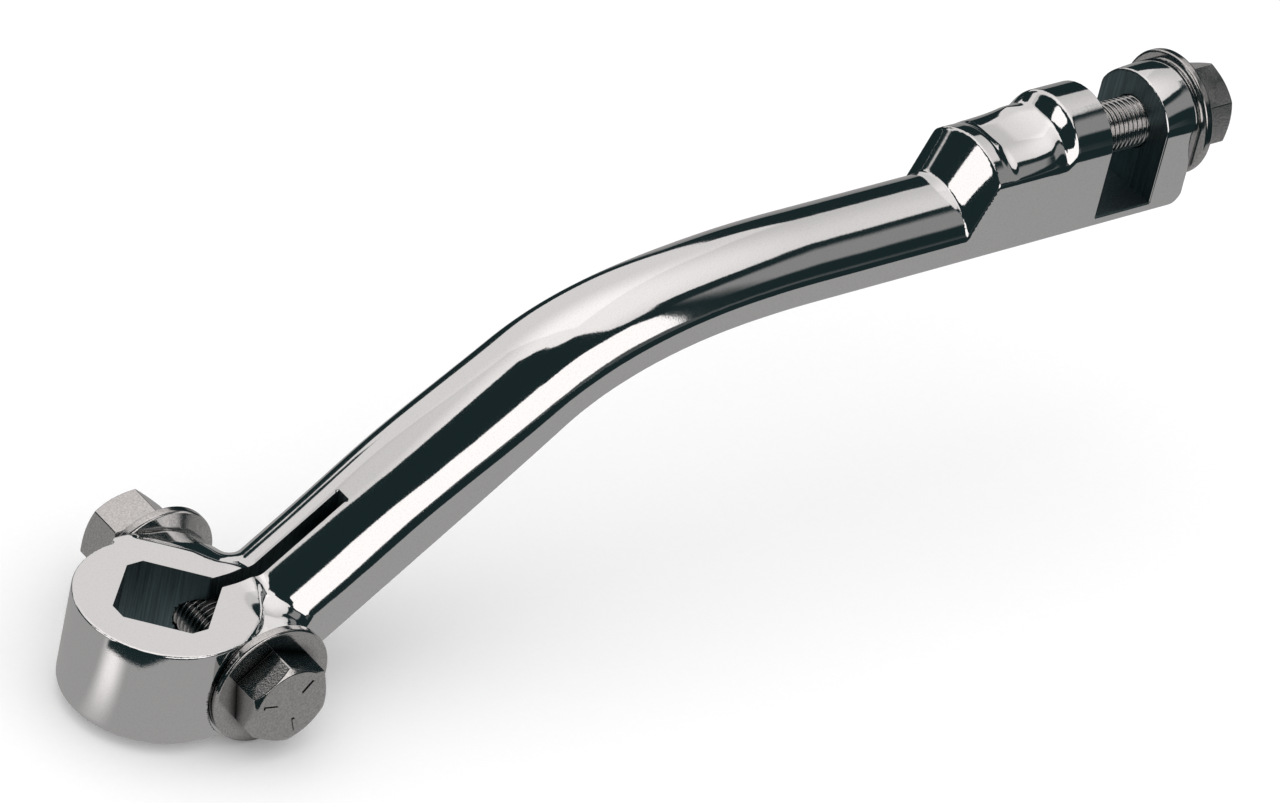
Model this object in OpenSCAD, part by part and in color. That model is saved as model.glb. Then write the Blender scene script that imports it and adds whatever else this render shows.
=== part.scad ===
// Kick start lever: a forged, chromed arm with a split square-socket hub,
// a fork for the folding pedal, and the bolts and washers that close both ends.
// Origin: centre of the square hole on the hub's inner face.
// +Z runs out along the spindle, +X towards the fork, +Y towards the pinch nut.

/* [Main sizes] */
// Reach of the lever, from the spindle axis to the fork's inner wall
reach = 187.5; // [175:0.5:215]
// Height of the pivot axis above the hub's inner face
axis_z = 67.7; // [60:0.5:76]

/* [Hub] */
// Diameter of the hub
hub_d = 32.6; // [30:0.2:38]
// Height of the hub along the spindle
hub_h = 19.3; // [17:0.1:22]
// Side of the square spindle hole
square_side = 16.5; // [14:0.1:17.5]
// Leg of the blunt corners of the square hole
square_blunt = 2.3; // [0.5:0.1:4]
// Bevel round the hub's outer face
hub_bevel = 0.5; // [0.2:0.1:1]
// Rounding at the hub's inner face
hub_round = 1.6; // [0.5:0.1:2.5]

/* [Pinch joint] */
// Width of the saw cut that lets the hub close
slot_w = 2.8; // [1.5:0.1:4]
// Distance from the spindle axis to the end of the saw cut
slot_end = 34; // [30:0.5:42]
// Distance of the pinch bolt inside the hub's wall
pinch_in = 5; // [3.8:0.1:5.8]
// Distance of the bolt head's seat inside the hub's wall
seat_in = 0.5; // [0:0.1:1.2]
// Distance of the nut's seat outside the hub's wall
seat_out = 1.3; // [0.7:0.1:2.5]
// Radius of the lug's rounded outer end
lug_r = 8.5; // [8:0.1:9.5]
// Distance of that rounding's centre inside the hub's wall
lug_in = 1.8; // [0.6:0.1:2.6]
// Margin of the spot face round the washer
seat_margin = 0.4; // [0.2:0.1:1]

/* [Arm] */
// Angle of the inner stretch above the hub's inner face
rise_angle = 36.6; // [34:0.2:39]
// Distance inside the hub's wall at which the underside leaves the hub's inner face
root_in = 1; // [0.4:0.1:2]
// Length of the bend before its corner
bend_in = 20; // [12:1:26]
// Length of the bend after its corner
bend_out = 36; // [20:1:42]
// Width of the inner stretch
arm_w = 21; // [19.5:0.1:23]
// Height of the flat sides beside the hub
side_root = 6.3; // [5.4:0.1:7.5]
// Height of the flat sides along the arm
side_h = 5.2; // [4:0.1:6.5]
// Height of the rounded top over the sides on the inner stretch
crown_inner = 8.6; // [7.5:0.1:9.5]
// Height of the rounded top over the sides on the outer stretch
crown_outer = 6.1; // [5:0.1:7]
// Slope of the top where it leaves the hub's outer face
root_slope = 0.42; // [0.3:0.01:0.55]
// Distance inside the hub's wall at which the top leaves the hub's outer face
root_top_in = 6.3; // [4.3:0.1:8.3]
// Rounding of the lower edges
edge_r = 0.9; // [0.4:0.1:1.5]

/* [Fork] */
// Width of the fork's gap
gap_w = 12.8; // [11:0.1:16]
// Thickness of the outer ear
ear_t = 7.8; // [6:0.1:10]
// Width of the fork
fork_w = 19; // [18:0.1:20]
// Distance from the pivot axis down to the underside
under_drop = 13.9; // [12.5:0.1:15]
// Thickness of the floor under the gap
floor_t = 2.2; // [1.8:0.1:3.5]
// Height of the rounded boss and ear over half the fork's width
boss_proud = 0.5; // [0.3:0.1:1.5]
// Length of the round boss beside the gap
boss_len = 8; // [6:0.5:10]
// Length of the hollow waist between collar and boss
waist_len = 15.5; // [13:0.5:17]
// Length of the collar's level top
collar_len = 2.5; // [1.5:0.5:4]
// Length of the collar's slanted face
slant_len = 4.6; // [3:0.2:7]
// Height of the collar's sides over the pivot axis
collar_side = 1.5; // [0.5:0.1:2.5]
// Height of the collar's rounded top over its sides
collar_crown = 4.3; // [3.5:0.1:5]
// Length over which the waist's sides rise to the boss
side_rise = 2; // [1:0.5:4]
// Depth of the waist below the collar
waist_dip = 1.2; // [0.4:0.1:1.6]
// Radius of the ear's lower outer corner
ear_corner = 4; // [2:0.5:5]
// Bevel on the ends of the boss and the ear
end_bevel = 0.5; // [0.2:0.1:0.9]

/* [Fasteners] */
// Outer diameter of the bolt threads
bolt_d = 9.525; // [9:0.005:10]
// Size of the heads and nut across the flats
hex_af = 14.29; // [13.5:0.01:15]
// Height of the bolt heads
head_h = 6.1; // [5:0.1:7]
// Height of the nut
nut_h = 8.3; // [7:0.1:9]
// Turn of the pinch bolt's head about its axis
head_turn = 9; // [0:0.1:60]
// Turn of the nut about its axis
nut_turn = 11.5; // [0:0.1:60]
// Turn of the pivot bolt's head about its axis
pivot_turn = 58; // [0:0.1:60]
// Outer diameter of the flat washers
washer_d = 23; // [21:0.1:24]
// Thickness of the flat washers
washer_t = 1.8; // [1.2:0.1:2.4]
// Outer diameter of the lock washers
lock_d = 17; // [16:0.1:19]
// Thickness of the lock washers
lock_t = 2.4; // [1.8:0.1:2.8]
// Width of the split in a lock washer
lock_split = 1.2; // [0.6:0.1:2]
// Turn of the pinch joint's lock washer about its axis
pinch_split_turn = 250; // [0:5:355]
// Turn of the pivot's lock washer about its axis
pivot_split_turn = 120; // [0:5:355]
// Clearance round a bolt in the holes that it passes through
bolt_clear = 0.2; // [0.1:0.05:0.4]
// Length of bolt past the nut
bolt_past = 1; // [0.5:0.1:1.6]
// Length of thread that the pivot bolt has in the arm
thread_in = 9; // [7:0.5:10]
// Depth of the tapped hole past the bolt's end
tap_past = 1.5; // [0.5:0.5:2]

/* [Hidden] */
$fn = 72;
eps = 0.02;
// Segments of the rounded top and of a lower edge, and sections along the inner stretch and the bend
crown_n = 20;
edge_n = 3;
inner_n = 9;
bend_n = 14;
// Material left between the hub's inner face and the arm's underside inside the hub
skin = 0.2;
// Half the height over which the flare blends into the arm's top
blend_root = 0.5;
// Colours
chrome = [0.78, 0.79, 0.80];
plated = [0.55, 0.55, 0.54];

// Derived places
pinch_x = hub_d / 2 - pinch_in;
seat_near = hub_d / 2 - seat_in;
seat_far = hub_d / 2 + seat_out;
lug_x = hub_d / 2 - lug_in;
root_x = hub_d / 2 - root_in;
root_top_x = hub_d / 2 - root_top_in;
boss_r = fork_w / 2 + boss_proud;
under_z = axis_z - under_drop;
corner_x = root_x + under_z / tan(rise_angle);
bend_x0 = corner_x - bend_in * cos(rise_angle);
bend_x1 = corner_x + bend_out;
ear_x = reach + gap_w;
end_x = ear_x + ear_t;
boss_x = reach - boss_len;
collar_x1 = boss_x - waist_len;
collar_x0 = collar_x1 - collar_len;
slant_x = collar_x0 - slant_len;
pinch_z = hub_h / 2;
hole_d = bolt_d + 2 * bolt_clear;
slant_rest = 0.3;

function mix(a, b, t) = a + (b - a) * t;
function ease(t) = let (u = min(max(t, 0), 1)) u * u * (3 - 2 * u);
function soft_max(a, b, k) = let (h = max(k - abs(a - b), 0) / k) max(a, b) + h * h * k / 4;

// A section is [x, underside z, slope angle, side height, crown height, half width],
// square to the slope, with its foot on the line of the underside.
function side_at(x) = mix(side_root, side_h, ease((x - root_x) / (bend_x0 / 2)));
function crown_at(x) = mix(crown_inner, crown_outer, ease((x - bend_x0 + bend_in) / (bend_in + bend_out)));
function half_w_at(x) = mix(arm_w, fork_w, ease((x - bend_x0 + bend_in) / (bend_in + bend_out))) / 2;

// Inner stretch: the underside climbs in a straight line. The top flares into the hub's outer
// face along its own slope, and inside the hub it stays under that face.
function foot_z(x) = (x - root_x) * tan(rise_angle) + skin;
flare_x = (root_top_x + tan(rise_angle) * (hub_h + root_x * tan(rise_angle))) / (1 + pow(tan(rise_angle), 2));
function flare_h(x) = (hub_h - skin + (x - root_top_x) * root_slope - foot_z(x))
    / (cos(rise_angle) + root_slope * sin(rise_angle));
function buried_h(x) = (hub_h - 2 * skin - foot_z(x)) / cos(rise_angle);
function inner_h(x) = x < flare_x ? buried_h(x) : soft_max(side_at(x) + crown_at(x), flare_h(x), 2 * blend_root);
function inner_section(x) = [x, foot_z(x), rise_angle, side_at(x), inner_h(x) - side_at(x), half_w_at(x)];

// Bend: a quadratic curve whose legs lie along the two straight stretches
function bend_section(t) =
    let (a = (1 - t) * (1 - t) * bend_in,
         x = corner_x - a * cos(rise_angle) + t * t * bend_out,
         dx = (1 - t) * bend_in * cos(rise_angle) + t * bend_out,
         dz = (1 - t) * bend_in * sin(rise_angle))
    [x, under_z + skin * (1 - t) - a * sin(rise_angle), atan2(dz, dx), side_at(x), crown_at(x), half_w_at(x)];

// Fork end: level sections, with heights taken from the pivot axis
function level(x, top_side, crown, up = 0, narrow = 0) =
    [x, under_z + up, 0, top_side - under_z - up, crown, fork_w / 2 - narrow];
side_low = under_z + side_h;
side_collar = axis_z + collar_side;
side_boss = axis_z + sqrt(boss_r * boss_r - fork_w * fork_w / 4);
crown_boss = axis_z + boss_r - side_boss;
function waist(t) = level(mix(collar_x1, boss_x, t),
                          mix(side_collar, side_boss, ease(1 - (1 - t) * waist_len / side_rise)),
                          collar_crown - waist_dip * sin(min(t / 0.55, 1) * 90)
                          + (crown_boss - collar_crown + waist_dip) * pow(max(2 * t - 1, 0), 2));
function corner_up(dx) = ear_corner - sqrt(max(ear_corner * ear_corner - dx * dx, 0));

sections = concat(
    [for (x = [root_x, (root_x + flare_x) / 2, flare_x]) inner_section(x)],
    [for (i = [1:inner_n]) inner_section(mix(flare_x, bend_x0, pow(i / (inner_n + 1), 1.6)))],
    [for (i = [0:bend_n]) bend_section(i / bend_n)],
    [level(mix(bend_x1, slant_x, 0.5), side_low, crown_outer),
     level(slant_x - slant_rest, side_low, crown_outer),
     level(slant_x + slant_rest, mix(side_low, side_collar, 0.06), crown_outer),
     level(collar_x0 - slant_rest, mix(side_low, side_collar, 0.94), collar_crown),
     level(collar_x0 + slant_rest, side_collar, collar_crown)],
    [for (i = [0:8]) waist(i / 8)],
    [level(reach - end_bevel, side_boss, crown_boss),
     level(reach, side_boss - end_bevel, crown_boss),
     level(ear_x, side_boss - end_bevel, crown_boss),
     level(ear_x + end_bevel, side_boss, crown_boss)],
    [for (a = [0:22.5:67.5]) level(end_x - ear_corner + (ear_corner - end_bevel) * sin(a), side_boss, crown_boss,
                                   corner_up((ear_corner - end_bevel) * sin(a)))],
    [level(end_x - end_bevel, side_boss, crown_boss, corner_up(ear_corner - end_bevel)),
     level(end_x, side_boss - end_bevel, crown_boss, ear_corner, end_bevel)]);

// Points round one section, from its near lower edge over the top to the far one
function outline(s) =
    let (w = s[5], m = 2 * atan(s[4] / w), r = w / sin(m),
         flat = concat(
            [for (i = [0:edge_n]) let (a = 90 * i / edge_n)
                [-w + edge_r - edge_r * sin(a), edge_r - edge_r * cos(a)]],
            [for (i = [0:crown_n]) let (a = m * (2 * i / crown_n - 1))
                [r * sin(a), s[3] + r * (cos(a) - cos(m))]],
            [for (i = [edge_n:-1:0]) let (a = 90 * i / edge_n)
                [w - edge_r + edge_r * sin(a), edge_r - edge_r * cos(a)]]))
    [for (p = flat) [s[0] - p[1] * sin(s[2]), p[0], s[1] + p[1] * cos(s[2])]];

// Skin over a list of rings that all have the same number of points
module loft(rings) {
    n = len(rings[0]);
    last = (len(rings) - 1) * n;
    polyhedron(
        points = [for (r = rings) for (p = r) p],
        faces = concat(
            [[for (i = [n - 1:-1:0]) i]],
            [for (j = [0:len(rings) - 2]) for (i = [0:n - 1])
                let (a = j * n + i, b = j * n + (i + 1) % n) [a, b, b + n]],
            [for (j = [0:len(rings) - 2]) for (i = [0:n - 1])
                let (a = j * n + i, b = j * n + (i + 1) % n) [a, b + n, a + n]],
            [[for (i = [0:n - 1]) last + i]]),
        convexity = 6);
}

// Hub: a turned body with a bevelled outer face and a rounded inner one
module hub() {
    r = hub_d / 2;
    rotate_extrude()
        union() {
            polygon([[0, 0], [r - hub_round, 0], [r - hub_round, hub_round], [r, hub_round],
                     [r, hub_h - hub_bevel], [r - hub_bevel, hub_h], [0, hub_h]]);
            translate([r - hub_round, hub_round]) circle(hub_round);
        }
}

// Lug that the pinch bolt passes through, level at the hub and falling to a round outer end
module lug() {
    lean = 12;
    level_x = 6;
    translate([0, seat_far, 0])
        rotate([90, 0, 0])
            linear_extrude(seat_near + seat_far)
                union() {
                    translate([lug_x, lug_r]) circle(lug_r);
                    polygon([[0, 0], [lug_x, 0], [lug_x + lug_r * sin(lean), lug_r + lug_r * cos(lean)],
                             [level_x, hub_h], [0, hub_h]]);
                }
}

// Square hole with blunt corners, turned to point a corner along the arm
module square_hole() {
    h = square_side / 2;
    b = h - square_blunt;
    translate([0, 0, -1])
        rotate(45)
            linear_extrude(hub_h + 2)
                polygon([[h, -b], [h, b], [b, h], [-b, h], [-h, b], [-h, -b], [-b, -h], [b, -h]]);
}

// A cylinder along Y or X from a start point
module along_y(x, y0, y1, z, d) {
    translate([x, y1, z]) rotate([90, 0, 0]) cylinder(d = d, h = y1 - y0);
}
module along_x(x0, x1, d) {
    translate([x0, 0, axis_z]) rotate([0, 90, 0]) cylinder(d = d, h = x1 - x0);
}

module lever_arm() {
    seat_d = washer_d + 2 * seat_margin;
    tall = axis_z + boss_r;
    color(chrome)
    difference() {
        union() {
            hub();
            lug();
            loft([for (s = sections) outline(s)]);
        }
        square_hole();
        translate([0, -slot_w / 2, -1]) cube([slot_end, slot_w, tall]);
        along_y(pinch_x, -hub_d, hub_d, pinch_z, hole_d);
        along_y(pinch_x, -hub_d, -seat_near, pinch_z, seat_d);
        along_y(pinch_x, seat_far, hub_d + seat_far, pinch_z, seat_d);
        translate([reach, -fork_w, under_z + floor_t]) cube([gap_w, 2 * fork_w, tall]);
        along_x(ear_x - 1, end_x + 1, hole_d);
        along_x(reach - thread_in - tap_past, reach + 1, bolt_d);
    }
}

// Hexagon with both ends' corners turned off, standing on z = 0
module hex_body(h, turn, foot, top) {
    corner_r = hex_af / sqrt(3);
    fall = 0.58 * (corner_r - hex_af / 2);
    rotate(turn)
        intersection() {
            cylinder(r = corner_r, h = h, $fn = 6);
            rotate_extrude()
                polygon([[0, 0], [foot ? hex_af / 2 : corner_r + 1, 0], [corner_r + eps, foot ? fall : 0],
                         [corner_r + eps, top ? h - fall : h], [top ? hex_af / 2 : corner_r + 1, h], [0, h]]);
        }
}

module bolt(shank, turn) {
    tip = 0.8;
    union() {
        hex_body(head_h, turn, false, true);
        translate([0, 0, -shank + tip]) cylinder(d = bolt_d, h = shank - tip + eps);
        translate([0, 0, -shank]) cylinder(d1 = bolt_d - 2 * tip, d2 = bolt_d, h = tip);
    }
}

module flat_washer() {
    difference() {
        cylinder(d = washer_d, h = washer_t);
        translate([0, 0, -1]) cylinder(d = hole_d + bolt_clear, h = washer_t + 2);
    }
}

module lock_washer(turn) {
    difference() {
        cylinder(d = lock_d, h = lock_t);
        translate([0, 0, -1]) cylinder(d = hole_d, h = lock_t + 2);
        rotate(turn) translate([lock_d / 2, 0, lock_t / 2]) rotate([25, 0, 0])
            cube([lock_d, lock_split, 4 * lock_t], center = true);
    }
}

// Places a fastener whose own +Z points out of its seat
module on_near(y) { translate([pinch_x, y, pinch_z]) rotate([90, 0, 0]) children(); }
module on_far(y) { translate([pinch_x, y, pinch_z]) rotate([-90, 0, 0]) children(); }
module on_ear(x) { translate([x, 0, axis_z]) rotate([0, 90, 0]) children(); }

module pinch_bolt() {
    grip = seat_near + seat_far + 2 * washer_t + lock_t + nut_h;
    color(plated) on_near(-seat_near - washer_t) bolt(grip + bolt_past, head_turn);
}
module pinch_head_washer() { color(plated) on_near(-seat_near) flat_washer(); }
module pinch_nut_washer() { color(plated) on_far(seat_far) flat_washer(); }
module pinch_lock_washer() { color(plated) on_far(seat_far + washer_t) lock_washer(pinch_split_turn); }
module pinch_nut() {
    color(plated) on_far(seat_far + washer_t + lock_t)
        difference() {
            hex_body(nut_h, nut_turn, true, true);
            translate([0, 0, -1]) cylinder(d = bolt_d, h = nut_h + 2);
        }
}
module pivot_bolt() {
    color(plated) on_ear(end_x + washer_t + lock_t)
        bolt(washer_t + lock_t + ear_t + gap_w + thread_in, pivot_turn);
}
module pivot_washer() { color(plated) on_ear(end_x) flat_washer(); }
module pivot_lock_washer() { color(plated) on_ear(end_x + washer_t) lock_washer(pivot_split_turn); }

lever_arm();
pinch_bolt();
pinch_head_washer();
pinch_nut_washer();
pinch_lock_washer();
pinch_nut();
pivot_bolt();
pivot_washer();
pivot_lock_washer();
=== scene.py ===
"""Kick start lever: a chromed, cranked forging with its clamp bolt, pivot bolt, nut and washers."""

import math
from types import SimpleNamespace

import bpy
import numpy as np
from bpy.props import FloatProperty, FloatVectorProperty, IntProperty, PointerProperty
from bpy.types import Operator, Panel, PropertyGroup
from mathutils import Euler, Matrix, Vector


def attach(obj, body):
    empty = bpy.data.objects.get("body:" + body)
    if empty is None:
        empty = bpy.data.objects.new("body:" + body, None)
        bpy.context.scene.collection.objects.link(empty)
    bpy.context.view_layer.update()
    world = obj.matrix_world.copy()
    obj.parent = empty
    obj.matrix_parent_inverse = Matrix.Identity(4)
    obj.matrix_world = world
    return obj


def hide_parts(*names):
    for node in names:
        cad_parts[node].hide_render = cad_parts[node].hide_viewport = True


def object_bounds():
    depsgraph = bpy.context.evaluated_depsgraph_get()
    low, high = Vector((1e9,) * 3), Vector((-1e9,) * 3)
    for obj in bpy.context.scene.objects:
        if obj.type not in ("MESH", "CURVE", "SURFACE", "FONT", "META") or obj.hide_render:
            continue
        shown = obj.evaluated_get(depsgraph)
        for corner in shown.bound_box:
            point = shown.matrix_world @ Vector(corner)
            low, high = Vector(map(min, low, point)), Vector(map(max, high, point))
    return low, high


bl_info = {
    "name": "Kick start lever",
    "version": (1, 0, 0),
    "blender": (4, 5, 0),
    "location": "3D View > Sidebar > Kick Lever",
    "description": "Builds a chromed kick start lever round its packed frame",
    "category": "Add Mesh",
}

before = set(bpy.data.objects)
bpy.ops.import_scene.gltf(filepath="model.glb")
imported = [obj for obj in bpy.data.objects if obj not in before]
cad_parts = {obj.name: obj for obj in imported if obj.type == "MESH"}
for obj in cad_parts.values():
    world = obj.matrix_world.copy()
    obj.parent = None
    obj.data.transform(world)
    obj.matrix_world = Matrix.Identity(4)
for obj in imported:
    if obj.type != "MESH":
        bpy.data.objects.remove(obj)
CAD_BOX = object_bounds()
MM = 0.001
ROOT = "root"


# Sizes

def length(name, description, mm):
    """A length in metres, written here in millimetres."""
    return FloatProperty(name=name, description=description, default=mm * MM, min=0.0,
                         unit="LENGTH", precision=5)


def angle(name, description, degrees):
    return FloatProperty(name=name, description=description, default=math.radians(degrees),
                         subtype="ANGLE")


def paint(name, description, code):
    return FloatVectorProperty(name=name, description=description, default=linear(code),
                               size=3, min=0.0, max=1.0, subtype="COLOR")


def linear(code):
    """An sRGB hex colour as linear red, green and blue."""
    parts = [int(code[i:i + 2], 16) / 255 for i in (1, 3, 5)]
    return tuple(c / 12.92 if c <= 0.04045 else ((c + 0.055) / 1.055) ** 2.4 for c in parts)


class KickLeverForging(PropertyGroup):
    hub_d: length("Hub diameter", "Diameter of the hub", 32.6)
    hub_h: length("Hub height", "Height of the hub along the spindle", 19.3)
    hub_bevel: length("Hub bevel", "Edge break round the hub's outer face", 0.5)
    hub_round: length("Hub rounding", "Rounding at the hub's inner face", 1.6)
    square_side: length("Square side", "Side of the square spindle hole", 16.5)
    square_blunt: length("Square corners", "Leg of the square hole's blunt corners", 2.3)
    slot_w: length("Saw cut", "Width of the saw cut", 2.8)
    slot_end: length("Saw cut end", "Distance from the spindle axis to the cut's end", 34)
    pinch_x: length("Clamp bolt place", "Distance from the spindle axis to the clamp bolt", 11.3)
    seat_near: length("Head seat", "Distance from the middle plane to the head's seat", 15.8)
    seat_far: length("Nut seat", "Distance from the middle plane to the nut's seat", 17.6)
    lug_r: length("Lug radius", "Radius of the lug's round outer end", 8.5)
    lug_x: length("Lug place", "Distance from the spindle axis to that radius's centre", 14.5)
    lug_lean: angle("Lug lean", "Fall of the lug's top towards its outer end", 12)
    lug_level: length("Lug level", "Where the lug's top starts to fall", 6)
    rise: angle("Rise", "Angle of the inner stretch above the hub's inner face", 36.6)
    root_x: length("Root", "Where the underside leaves the hub's inner face", 15.3)
    skin: length("Skin", "Height of the underside's line over that place", 0.2)
    bend_in: length("Bend before", "Length of the bend before its corner", 20)
    bend_out: length("Bend after", "Length of the bend after its corner", 36)
    arm_w: length("Arm width", "Width of the inner stretch", 21)
    side_root: length("Side at the hub", "Height of the flat sides beside the hub", 5.6)
    side_h: length("Side height", "Height of the flat sides along the arm", 5.2)
    level_top: length("Level top", "Half width of the level top past the saw cut", 1.6)
    waist_level: length("Waist level", "Half width of the level top of the waist", 3)
    crown_inner: length("Inner crown", "Height of the rounded top on the inner stretch", 8.6)
    crown_outer: length("Outer crown", "Height of the rounded top on the outer stretch", 6.1)
    hub_fillet: length("Top fillet", "Fillet between the hub's outer face and the arm's top", 4.5)
    edge_r: length("Lower edges", "Rounding of the lower edges", 0.9)
    fillet: length("Fillet", "Fillet between hub, lug and arm near the hub's inner face", 2.4)
    valley: length("Valley", "Fillet between hub and arm on the outer side", 3)
    shoulder_y: length("Shoulder beside", "Where the top starts to fall beside the middle", 3)
    shoulder_x: length("Shoulder along", "Where the top starts to fall along the arm", 11)
    shoulder_round: length("Shoulder rounding", "Length over which both falls start", 2)
    far_round: length("Far rounding", "Rounding of the lug's edge on the nut's side", 2.5)
    gap_x: length("Fork wall", "Distance from the spindle axis to the fork's inner wall", 187.5)
    gap_w: length("Fork gap", "Width of the fork's gap", 12.8)
    ear_t: length("Ear", "Thickness of the outer ear", 7.8)
    fork_w: length("Fork width", "Width of the fork", 19)
    axis_z: length("Pivot height", "Height of the pivot axis over the hub's inner face", 67.7)
    under_drop: length("Underside", "Distance from the pivot axis down to the underside", 13.9)
    floor_t: length("Gap floor", "Thickness of the floor under the gap", 2.2)
    boss_proud: length("Boss", "How far the round boss stands over half the width", 0.5)
    boss_len: length("Boss length", "Length of the round boss beside the gap", 8)
    waist_len: length("Waist length", "Length of the hollow waist", 15.5)
    collar_len: length("Collar length", "Length of the collar's level top", 2.5)
    slant_len: length("Slant length", "Length of the collar's slanted face", 4.6)
    collar_side: length("Collar side", "Height of the collar's sides over the pivot axis", 1.5)
    collar_crown: length("Collar crown", "Height of the collar's rounded top over its sides", 4.3)
    waist_dip: length("Waist dip", "Depth of the waist below the collar", 1.0)
    ear_corner: length("Ear corner", "Radius of the ear's lower outer corner", 4)
    ear_barrel: length("Ear barrel", "How far the ear's round top falls towards the gap", 0.9)
    end_bevel: length("End edges", "Rounding of the ends of boss and ear", 0.5)
    cell: length("Mesh cell", "Size of the cells that the ends' skin is made on", 0.46)
    cell_arm: length("Arm cell", "Length of the cells along the plain stretches", 0.95)
    cell_rise: length("Rise cell", "Height of the cells along the inner stretch", 0.62)
    chrome: paint("Chrome", "Colour of the chrome plate", "#f2f3f3")
    bare: paint("Bare steel", "Colour of the machined faces", "#7d9195")


class KickLeverFasteners(PropertyGroup):
    thread_d: length("Thread", "Outer diameter of the threads", 9.525)
    pitch: length("Pitch", "Distance from thread to thread", 1.058)
    thread_deep: length("Thread depth", "Depth of the threads", 0.62)
    across: length("Across flats", "Size of the heads and nut across the flats", 14.29)
    head_h: length("Head height", "Height of the bolt heads", 6.1)
    nut_h: length("Nut height", "Height of the nut", 8.3)
    head_turn: angle("Head turn", "Turn of the clamp bolt's head", 9)
    nut_turn: angle("Nut turn", "Turn of the nut", 11.5)
    pivot_turn: angle("Pivot head turn", "Turn of the pivot bolt's head", 58)
    washer_d: length("Washer", "Outer diameter of the flat washers", 23)
    washer_t: length("Washer thickness", "Thickness of the flat washers", 1.8)
    lock_d: length("Lock washer", "Outer diameter of the lock washers", 17)
    lock_t: length("Lock washer thickness", "Thickness of the lock washers", 2.4)
    lock_split: length("Split", "Width of the split in a lock washer", 1.2)
    clear: length("Clearance", "Clearance round a bolt in a plain hole", 0.2)
    past: length("Bolt end", "Length of the clamp bolt past its nut", 1)
    thread_in: length("Thread in the arm", "Length of the pivot bolt in the arm", 9)
    turns_sides: IntProperty(name="Sides", description="Segments round a thread", default=72, min=24)
    dash: length("Grade dashes", "Height of the plain dashes on a head", 0.2)
    plate: paint("Plated steel", "Colour of the plated fasteners", "#d4d3d2")


def millimetres(group):
    """A property group's lengths as plain numbers in millimetres, and its angles in radians."""
    found = {}
    for key in group.__annotations__:
        value = getattr(group, key)
        if isinstance(value, float):
            turned = group.bl_rna.properties[key].subtype == "ANGLE"
            found[key] = value if turned else value / MM
    return SimpleNamespace(**found)


# Shapes as fields. A field gives, for points in millimetres, a number below zero inside the metal and
# above zero outside it, close to the distance from its surface.

def mix(a, b, t):
    return a + (b - a) * t


def ease(t):
    u = np.clip(t, 0, 1)
    return u * u * (3 - 2 * u)


def between(x, start, end):
    """0 at start and before it, 1 at end and past it, with a soft way from one to the other."""
    return ease((x - start) / (end - start))


def soft_max(a, b, reach):
    """The larger of a and b, rounded where they lie within a reach of each other."""
    near = np.maximum(reach - np.abs(a - b), 0) / reach
    return np.maximum(a, b) + near * near * reach / 4


def meet(a, b, r):
    """The metal inside both a and b, with the edge between them rounded."""
    return np.minimum(-r, np.maximum(a, b)) + np.hypot(np.maximum(r + a, 0), np.maximum(r + b, 0))


def join(a, b, r):
    """The metal inside a or b, with a fillet between them."""
    return -meet(-a, -b, r)


# Fall of the shoulders beside the arm's root, per millimetre beside and per millimetre along
SHOULDER_FALL = 0.07
# Where the section beside the hub turns into the arm's own, and the share of the level top that runs
# beside the saw cut before it grows, and the length over which it grows
LEAVES_HUB = (46, 72)
LEVEL_AT_CUT = 0.6
LEVEL_GROWS = 18
# How far inside the waist's two ends its top starts to grow level, and how far in it is level
WAIST_IN, WAIST_OUT = (0.5, 2.5), (0.5, 5)
# Shares of the waist's length: where its top has dropped from the collar, and where its sides rise to
# the boss. Share of its climb to the boss that is straight
WAIST_DROP = 0.14
WAIST_SIDE = 0.86
WAIST_STRAIGHT = 0.2
# The stretches along the lever and across it over which the lug's edge on the nut's side grows round, and
# the height over the hub's middle in which the valley beside the arm does
EDGE_ALONG, EDGE_ACROSS, VALLEY_UP = (2, 10), (0, 8), (0, 6)
# Roundings in millimetres: between sides and top, between lug and hub, of the lug's ends, of the seats
# and of the gap
TOP_EDGE, LUG_JOIN, LUG_EDGE, SEAT_EDGE, GAP_EDGE = 0.3, 0.6, 0.8, 0.15, 0.25


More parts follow.
